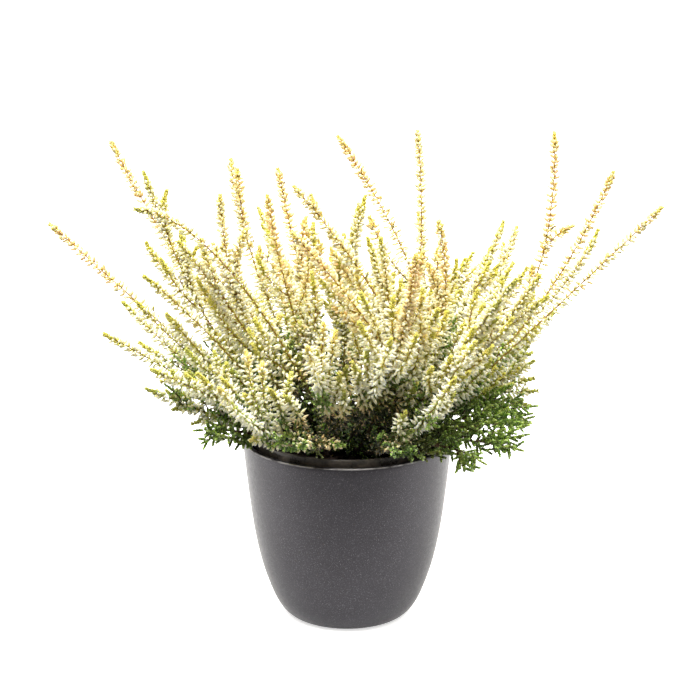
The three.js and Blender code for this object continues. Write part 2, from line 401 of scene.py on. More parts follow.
class FloorFinish(Finish):
    """Plain white studio floor that glows a little, and lights the pot less from the front."""

    NAME = "studio_floor"
    GLOW = 0.62
    FRONT: Pair = (-0.32, -0.08)
    DIM: Colour = (0.14, 0.14, 0.14, 1.0)
    PALE: Colour = (0.9, 0.9, 0.9, 1.0)
    WHITE: Colour = (0.94, 0.94, 0.94, 1.0)

    def draw(self) -> None:
        """Draws the floor white to the camera, and to gloss beside and behind the pot."""
        place = self.coordinates()
        near = self.span(self.part(place, "Y"), self.FRONT)
        shine = self.combine("MULTIPLY", near, self.add("LightPath", "Is Glossy Ray"))
        lit = self.combine("MAXIMUM", shine, self.add("LightPath", "Is Camera Ray"))
        self.surface(
            Base_Color=self.mix(lit, self.DIM, self.mix(self.noise(place, 3.0), self.PALE, self.WHITE)),
            Roughness=0.7,
            Emission_Color=(1.0, 1.0, 1.0, 1.0),
            Emission_Strength=self.combine("MULTIPLY", lit, self.GLOW),
        )


class Slot(Enum):
    """The record's material slots."""

    GLAZE = "glaze"
    PLASTIC = "pot_plastic"
    COMPOST = "compost"
    BARK = "bark"
    BLOSSOM = "blossom"
    FOLIAGE = "foliage"


FINISHES: dict[Slot, type[Finish]] = {
    Slot.GLAZE: GlazeFinish,
    Slot.PLASTIC: PlasticFinish,
    Slot.COMPOST: CompostFinish,
    Slot.BARK: BarkFinish,
    Slot.BLOSSOM: PetalFinish,
    Slot.FOLIAGE: LeafFinish,
}


@cache
def material_of(slot: Slot) -> bpy.types.Material:
    """The material of a slot, made once."""
    return FINISHES[slot]().owner


# ---------------------------------------------------------------- mesh tools


class Tint(NamedTuple):
    """What a finish reads at a vertex: its place along the copy, the copy's shade and youth."""

    along: float = 0.0
    shade: float = 0.5
    young: float = 0.0
    alpha: float = 1.0


def new_shape() -> Shape:
    """An empty bmesh with the tint layer.

    Returns:
        The bmesh.
    """
    shape = bmesh.new()
    shape.verts.layers.float_color.new(TINT)
    return shape


def as_mesh(name: str, shape: Shape) -> bpy.types.Mesh:
    """Turns a bmesh into a mesh.

    Args:
        name: the mesh's name.
        shape: the bmesh, which is freed.

    Returns:
        The mesh.
    """
    mesh = bpy.data.meshes.new(name)
    shape.to_mesh(mesh)
    shape.free()
    return mesh


def add_object(name: str, data: bpy.types.ID) -> bpy.types.Object:
    """Adds an object to the scene.

    Args:
        name: its name.
        data: its mesh, light or camera.

    Returns:
        The object.
    """
    added = bpy.data.objects.new(name, data)
    bpy.context.scene.collection.objects.link(added)
    return added


def place_piece(name: str, shape: Shape, slot: Slot, node: str) -> bpy.types.Object:
    """Turns a bmesh into a finished piece that stands for a CAD node.

    Args:
        name: the piece's name.
        shape: its bmesh, which is freed.
        slot: the record's slot that it is dressed from.
        node: the CAD node that it stands for.

    Returns:
        The piece.
    """
    mesh = as_mesh(name, shape)
    mesh.materials.append(material_of(slot))
    mesh.shade_smooth()
    piece = add_object(name, mesh)
    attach(piece, BODY)
    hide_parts(node)
    LOG.info("%s: %d faces", name, len(mesh.polygons))
    return piece


def turned(outline: Sequence[Pair], steps: int) -> Shape:
    """A solid turned about the Z axis.

    Args:
        outline: radius and height of each point, in millimetres, from the axis to the axis.
        steps: how many steps the full turn takes.

    Returns:
        The closed bmesh, in metres.
    """
    shape = new_shape()
    points = [shape.verts.new((radius * MM, 0, height * MM)) for radius, height in outline]
    edges = [shape.edges.new(ends) for ends in pairwise(points)]
    bmesh.ops.spin(
        shape, geom=points + edges, cent=(0, 0, 0), axis=UP, angle=math.tau, steps=steps, use_merge=True
    )
    bmesh.ops.remove_doubles(shape, verts=shape.verts, dist=SAME_PLACE)
    bmesh.ops.recalc_face_normals(shape, faces=shape.faces)
    return shape


def smooth_line(points: Sequence[Pair], count: int) -> list[Pair]:
    """Points on the smooth curve through the given ones.

    Args:
        points: the points that it passes.
        count: how many points each stretch is cut into.

    Returns:
        The denser line.
    """
    line: list[Pair] = []
    ends = (points[0], *points, points[-1])
    for stretch in zip(ends, ends[1:], ends[2:], ends[3:]):
        for t in (step / count for step in range(count)):
            point = []
            for a, b, c, d in zip(*stretch):
                square, cube = 2 * a - 5 * b + 4 * c - d, 3 * b - a - 3 * c + d
                point.append(0.5 * (2 * b + (c - a) * t + square * t * t + cube * t**3))
            line.append(tuple(point))
    return [*line, points[-1]]


def extrude_end(
    shape: Shape, end: bmesh.types.BMFace
) -> tuple[list[bmesh.types.BMVert], bmesh.types.BMFace]:
    """Extrudes the face that closes a stem by one ring.

    Args:
        shape: the bmesh.
        end: the face.

    Returns:
        The new ring's vertices and the new end.
    """
    grown = bmesh.ops.extrude_face_region(shape, geom=[end])["geom"]
    ring = [part for part in grown if isinstance(part, bmesh.types.BMVert)]
    return ring, next(part for part in grown if isinstance(part, bmesh.types.BMFace))


def frame_of(direction: Vector, turn: float = 0.0) -> Matrix:
    """A rotation that points +Z along a direction, turned about it."""
    return direction.to_track_quat("Z", "Y").to_matrix().to_4x4() @ Matrix.Rotation(turn, 4, "Z")


def side_of(axis: Vector, turn: float) -> Vector:
    """The direction square to an axis, at a turn about it."""
    return frame_of(axis, turn).to_3x3() @ Vector((1, 0, 0))


def standing(point: Vector, out: Vector, turn: float, size: Pair) -> Matrix:
    """How a copy of a template stands.

    Args:
        point: where its foot is.
        out: which way it points.
        turn: its turn about its own axis.
        size: its length and its breadth, in millimetres.

    Returns:
        Its place, turn and size in one matrix.
    """
    length, breadth = size[0] * MM, size[1] * MM
    stretch = Matrix.Diagonal((breadth, breadth, length, 1))
    return Matrix.Translation(point) @ frame_of(out, turn) @ stretch


class Route:
    """A curved line through space, measured by its length."""

    SAMPLES = 40

    def __init__(self, start: Vector, control: Vector, end: Vector) -> None:
        """Takes a quadratic curve.

        Args:
            start: where it starts.
            control: what it leans towards.
            end: where it ends.
        """
        shares = (i / self.SAMPLES for i in range(self.SAMPLES + 1))
        self.points = [(1 - t) ** 2 * start + 2 * t * (1 - t) * control + t * t * end for t in shares]
        steps = ((after - before).length for before, after in pairwise(self.points))
        self.marks = list(accumulate(steps, initial=0.0))
        self.length = self.marks[-1]

    def at(self, distance: float) -> tuple[Vector, Vector]:
        """Point and direction at a distance from the start.

        Args:
            distance: in metres along the line.

        Returns:
            The point and the unit direction.
        """
        wanted = clamp(distance, 0.0, self.length * 0.9999)
        i = next(k for k in range(self.SAMPLES) if self.marks[k + 1] >= wanted)
        step = self.points[i + 1] - self.points[i]
        share = (wanted - self.marks[i]) / max(self.marks[i + 1] - self.marks[i], 1e-9)
        direction = step.normalized()
        if i + 2 <= self.SAMPLES:
            following = (self.points[i + 2] - self.points[i + 1]).normalized()
            direction = direction.lerp(following, share).normalized()
        return self.points[i] + step * share, direction

    def along(self, share: float) -> tuple[Vector, Vector]:
        """Point and direction at a share of the length."""
        return self.at(share * self.length)

    def branch(self, distance: float, length: float, turn: float, open_: float) -> "Route":
        """A side branch that leaves this route and turns up alongside it.

        Args:
            distance: where it leaves.
            length: its length.
            turn: the side that it leaves on.
            open_: how far it stands off, as a share of its length.

        Returns:
            The branch's route.
        """
        point, axis = self.at(distance)
        side = side_of(axis, turn)
        control = point + (axis * 0.4 + side * open_ * 0.9) * length
        end = point + (axis * 0.88 + side * open_ + UP * 0.12) * length
        return Route(point, control, end)


@dataclass(frozen=True)
class Stem:
    """A round stem: its radius in millimetres at the foot and the tip, and its facets."""

    foot: float
    tip: float
    rings: int
    sides: int
    taper: float = 1.0

    def stand(self, route: Route, share: float) -> Matrix:
        """Where a ring of the stem stands.

        Args:
            route: the stem's middle line.
            share: the ring's place, as a share of the length.

        Returns:
            The ring's place, direction and radius in one matrix.
        """
        point, direction = route.along(share)
        width = Matrix.Scale(blend(self.foot, self.tip, share**self.taper) * MM, 4)
        return Matrix.Translation(point) @ frame_of(direction) @ width

    def grow(self, shape: Shape, route: Route, tint: Callable[[float], Tint]) -> None:
        """Extrudes the closed stem along a route.

        Args:
            shape: the bmesh that it is added to.
            route: its middle line.
            tint: the tint of a vertex at a share of the length.
        """
        layer = shape.verts.layers.float_color[TINT]
        now = self.stand(route, 0.0)
        foot = bmesh.ops.create_circle(shape, cap_ends=True, segments=self.sides, radius=1.0, matrix=now)
        ring = foot["verts"]
        for vert in ring:
            vert[layer] = tint(0.0)
        end = ring[0].link_faces[0]
        for share in (i / (self.rings - 1) for i in range(1, self.rings)):
            ring, end = extrude_end(shape, end)
            then = self.stand(route, share)
            bmesh.ops.transform(shape, matrix=then @ now.inverted(), verts=ring)
            for vert in ring:
                vert[layer] = tint(share)
            now = then


class Template:
    """A small closed shape that stands with its foot at the origin and is copied many times."""

    def __init__(
        self, name: str, shape: Shape, along: Callable[[Vector], float] = lambda place: place.z
    ) -> None:
        """Keeps the shape, whose tint says how far along each vertex is.

        Args:
            name: the template's name.
            shape: its bmesh, one unit long along +Z, which is freed.
            along: how far along a vertex counts as being.
        """
        layer = shape.verts.layers.float_color[TINT]
        bmesh.ops.recalc_face_normals(shape, faces=shape.faces)
        for vert in shape.verts:
            vert[layer] = (along(vert.co), 0, 0, 1)
        self.mesh = as_mesh(name, shape)

    def stamp(self, shape: Shape, stand: Matrix, tint: Tint) -> None:
        """Adds one copy.

        Args:
            shape: the bmesh that it is added to.
            stand: the copy's place, turn and size.
            tint: the copy's shade and youth.
        """
        layer = shape.verts.layers.float_color[TINT]
        first = len(shape.verts)
        shape.from_mesh(self.mesh)
        shape.verts.ensure_lookup_table()
        for vert in shape.verts[first:]:
            vert.co = stand @ vert.co
            vert[layer] = (vert[layer][0], tint.shade, tint.young, 1)


def spindle(sides: int, rows: Sequence[Pair], sway: float) -> Shape:
    """A closed spindle one unit long.

    Args:
        sides: how many sides it has.
        rows: height and radius of each ring between its two points.
        sway: how far its middle leans out.

    Returns:
        The bmesh.
    """
    shape = new_shape()
    bmesh.ops.create_uvsphere(shape, u_segments=sides, v_segments=len(rows) + 1, radius=1.0)
    levels = sorted({round(vert.co.z, 4) for vert in shape.verts})
    heights = dict(zip(levels, [(0.0, 0.0), *rows, (1.0, 0.0)]))
    for vert in shape.verts:
        height, radius = heights[round(vert.co.z, 4)]
        flat = Vector((vert.co.x, vert.co.y, 0))
        flat = flat.normalized() * radius if radius else Vector()
        vert.co = flat + Vector((sway * 4 * height * (1 - height), 0, height))
    return shape


def scaly_finger(whorls: int, sides: int) -> Shape:
    """A leafy twig one unit long, clad in overlapping scale leaves.

    Args:
        whorls: how many rows of leaves it has.
        sides: how many leaves a row has.

    Returns:
        The bmesh.
    """
    foot_radius, point = 0.05, 0.06
    edge, waist = (0.15, 0.78, math.pi / sides), (0.09, 0.16, 0.0)
    shape = new_shape()
    bmesh.ops.create_circle(shape, cap_ends=True, segments=sides, radius=1.0)
    end = next(iter(shape.faces))
    bmesh.ops.scale(shape, vec=(foot_radius, foot_radius, 1), verts=end.verts[:])
    height = 0.0
    for i in range(whorls):
        taper = 1 - 0.3 * (i / whorls) ** 3
        for radius, lift, turn in (edge, waist):
            ring, end = extrude_end(shape, end)
            middle = Vector((0, 0, height))
            height += lift / whorls
            for vert in ring:
                out = (vert.co - middle).normalized() * radius * taper
                vert.co = Matrix.Rotation(turn, 3, "Z") @ out + Vector((0, 0, height))
    tip = bmesh.ops.poke(shape, faces=[end])["verts"]
    bmesh.ops.translate(shape, vec=(0, 0, point), verts=tip)
    return shape


# ---------------------------------------------------------------- pots and compost


@dataclass
class CoverPot:
    """The flared cover pot with its rounded lip and flat underside, in millimetres.

    The flare gives the outer radius at shares of the height. The lip and the corner of the floor
    are steps inwards and down from the rim's top, and inwards and up from the floor's edge.
    """

    height: float = 115.0
    wall: float = 4.0
    floor: float = 7.0
    foot: float = 34.0
    steps: int = 128
    flare: tuple[Pair, ...] = (
        (0.0, 34.0), (0.02, 38.0), (0.06, 42.2), (0.14, 47.0),
        (0.3, 53.3), (0.5, 58.2), (0.75, 62.0), (1.0, 65.0),
    )
    lip: tuple[Pair, ...] = (
        (0, 0.9), (0.12, 0.45), (0.4, 0.15), (0.85, 0), (2.3, 0.05), (2.9, 0.25), (3.4, 0.7), (3.8, 1.5)
    )
    corner: tuple[Pair, ...] = ((0.5, 2), (1.5, 0.6), (3.5, 0))

    def outline(self) -> list[Pair]:
        """The outline from the axis, up the outside, over the lip and down the inside.

        Returns:
            Radius and height of each point.
        """
        top = self.height - self.wall / 2
        side = [(radius, share * top) for share, radius in smooth_line(self.flare, 5)]
        rim = side[-1][0]
        inside = [(r - self.wall, z) for r, z in reversed(side) if z > self.floor + 4]
        edge = inside[-1][0]
        return [
            (0, 0),
            (self.foot * 0.5, 0),
            (self.foot - 1.2, 0),
            (self.foot - 0.3, 0.15),
            *((r, z) for r, z in side if z > 0.6),
            *((rim - inwards, self.height - down) for inwards, down in self.lip),
            *inside,
            *((edge - inwards, self.floor + up) for inwards, up in self.corner),
            (edge * 0.5, self.floor),
            (0, self.floor),
        ]

    def build(self) -> None:
        """Makes the piece that stands for the cover pot."""
        place_piece("cover_pot_glazed", turned(self.outline(), self.steps), Slot.GLAZE, "cover_pot")


@dataclass
class GrowerPot:
    """The thin tapered grower's pot with its rim skirt and drain holes, in millimetres."""

    foot: float = 7.3
    rim_top: float = 118.0
    rim_radius: float = 57.5
    rim_step: float = 2.0
    rim_band: float = 9.0
    base_radius: float = 36.5
    wall: float = 1.0
    drain_holes: int = 8
    drain_radius: float = 3.5
    drain_circle: float = 26.0
    steps: int = 112

    def radius(self, height: float) -> float:
        """Outer radius of the tapered wall at a height."""
        share = (height - self.foot) / (self.rim_top - self.foot)
        return blend(self.base_radius, self.rim_radius - self.rim_step, share)

    def outline(self) -> list[Pair]:
        """The outline from the axis, up the outside and down the inside.

        Returns:
            Radius and height of each point.
        """
        rim, top, wall, band = self.rim_radius, self.rim_top, self.wall, self.rim_top - self.rim_band
        climb = [blend(self.foot, band, i / 8) for i in range(9)]
        return [
            (0, self.foot),
            (self.drain_circle - 8, self.foot),
            (self.base_radius - 1, self.foot),
            *((self.radius(z), z) for z in climb),
            (self.radius(band) + 1.2, band + 0.1),
            (rim - 0.2, band + 0.5),
            (rim, band + 1.2),
            (rim, top - 0.6),
            (rim - 0.2, top - 0.15),
            (rim - 0.6, top),
            (rim - wall - 0.4, top),
            (rim - wall - 0.8, top - 0.2),
            (rim - wall - 1, top - 0.8),
            (rim - wall - 1, band + 1.5),
            *((self.radius(z) - wall, z) for z in reversed(climb[1:])),
            (self.base_radius - wall, self.foot + wall),
            (0, self.foot + wall),
        ]

    def drills(self) -> bpy.types.Object:
        """The ring of round cutters that make the drain holes.

        Returns:
            The cutters, as one object.
        """
        drills = new_shape()
        size = {"radius1": self.drain_radius * MM, "radius2": self.drain_radius * MM}
        spot = Matrix.Translation((self.drain_circle * MM, 0, self.foot * MM))
        for i in range(self.drain_holes):
            stand = Matrix.Rotation(math.tau * i / self.drain_holes, 4, "Z") @ spot
            depth = 4 * self.wall * MM
            bmesh.ops.create_cone(drills, cap_ends=True, segments=20, depth=depth, matrix=stand, **size)
        return add_object("drain_drills", as_mesh("drain_drills", drills))

    def build(self) -> None:
        """Makes the piece that stands for the grower's pot, with its drain holes cut."""
        shape = turned(self.outline(), self.steps)
        piece = place_piece("grower_pot_moulded", shape, Slot.PLASTIC, "grower_pot")
        cutter = self.drills()
        cut = piece.modifiers.new("drain_holes", "BOOLEAN")
        cut.object = cutter
        cut.operation = "DIFFERENCE"
        cut.solver = "EXACT"
        seen = piece.evaluated_get(bpy.context.evaluated_depsgraph_get())
        piece.data = bpy.data.meshes.new_from_object(seen)
        piece.modifiers.clear()
        bpy.data.objects.remove(cutter)


@dataclass
class Compost:
    """Crumbly peat with a shallow dome, filling the grower's pot, in millimetres."""

    pot: GrowerPot
    bottom: float = 8.6
    surface: float = 107.0
    dome: float = 2.0
    clearance: float = 1.9
    steps: int = 72
    rings: int = 26
    crumbs: int = 320
    crumb_size: Pair = (0.5, 1.7)
    seed: int = 5

    def height(self, reach: float, edge: float) -> float:
        """Height of the dome at a distance from the axis."""
        return self.surface + self.dome * (1 - (reach / edge) ** 2)

    def body(self, edge: float) -> Shape:
        """The peat with its bumpy top.

        Args:
            edge: the top's radius.

        Returns:
            The bmesh.
        """
        rings = [edge * (1 - i / self.rings) for i in range(self.rings)]
        foot = (self.pot.radius(self.bottom) - self.clearance + 0.2, self.bottom)
        top = [(reach, self.height(reach, edge)) for reach in rings]
        shape = turned([(0, self.bottom), foot, *top, (0, self.surface + self.dome)], self.steps)
        for vert in shape.verts:
            if vert.co.z > (self.surface - 1) * MM and vert.co.to_2d().length < (edge - 0.5) * MM:
                vert.co.z += 0.0013 * noise.fractal(vert.co * 190, 0.7, 2.1, 4) - 0.0006
        return shape

    def crumb(self) -> Template:
        """Shapes a crumb.

        Returns:
            A rough crumb, one unit in radius.
        """
        shape = new_shape()
        bmesh.ops.create_icosphere(shape, subdivisions=1, radius=1.0)
        for vert in shape.verts:
            vert.co *= 1 + 0.35 * noise.noise(vert.co * 1.7)
        return Template("crumb", shape)

    def build(self) -> None:
        """Makes the piece that stands for the compost."""
        edge = self.pot.radius(self.surface) - self.clearance
        shape, crumb, crumbs, rng = self.body(edge), self.crumb(), new_shape(), Random(self.seed)
        for _ in range(self.crumbs):
            turn, reach = rng.uniform(0, math.tau), math.sqrt(rng.random()) * (edge - 2.5)
            size = rng.uniform(*self.crumb_size) * MM
            height = self.height(reach, edge) - 0.7
            spot = Vector((reach * math.cos(turn), reach * math.sin(turn), height)) * MM
            tilt = Matrix.Rotation(rng.uniform(0, math.tau), 4, (rng.random(), rng.random(), 1))
            stretch = Matrix.Diagonal((size, size * rng.uniform(0.5, 1), size * 0.8, 1))
            crumb.stamp(crumbs, Matrix.Translation(spot) @ tilt @ stretch, Tint())
        shape.from_mesh(as_mesh("crumbs", crumbs))
        place_piece("compost_crumbly", shape, Slot.COMPOST, "potting_compost")


# ---------------------------------------------------------------- plant


@dataclass(frozen=True)
class Bloom:
    """How a shoot flowers: lengths in millimetres, the whorls' spacing as a share of the usual."""

    young_tip: float
    spacing: float
    side_spikes: int
    bud: float
    bare: float = 24.0


class Habit(Enum):
    """The ways in which the shoots flower."""

    SPARSE = Bloom(70.0, 1.15, 2, 5.5)
    TALL = Bloom(46.0, 0.9, 5, 5.7)
    FULL = Bloom(18.0, 0.92, 6, 5.8)
    LOW = Bloom(10.0, 0.92, 4, 5.9, 12.0)
    LONE = Bloom(44.0, 0.96, 2, 5.6)


class TipTone(Enum):
    """Colour of a growing tip, as its place between lime and gold and its lightness."""

    LIME = (0.2, 0.85)
    GOLD = (0.75, 1.0)
    OLIVE = (0.4, 0.6)
    GREEN = (0.3, 0.5)

    def blush(self, rng: Random) -> float:
        """How far the buds under such a tip turn to tan."""
        return rng.uniform(0.35, 0.9) if self is TipTone.GOLD else rng.uniform(0.0, 0.3)


@dataclass(frozen=True)
class Shoot:
    """Route of one shoot, in millimetres: where it starts on the crown, its bend and its tip.

    Each of its twins is a long side spike: the share of the shoot where it leaves, and its tip.
    """

    start: Pair
    bend: Triple
    tip: Triple
    habit: Habit
    tone: TipTone
    twins: tuple[tuple[float, float, float, float], ...] = ()

    def limb_end(self) -> Vector:
        """Where the crown's limb ends and the shoot begins, on a low dome."""
        dome, fall, reach = 128, 9, 46
        return Vector((*self.start, dome - fall * (math.hypot(*self.start) / reach) ** 2)) * MM

    def route(self) -> Route:
        """The shoot's middle line."""
        start, end = self.limb_end(), Vector(self.tip) * MM
        return Route(start, (start + end) / 2 + Vector(self.bend) * 2 * MM, end)


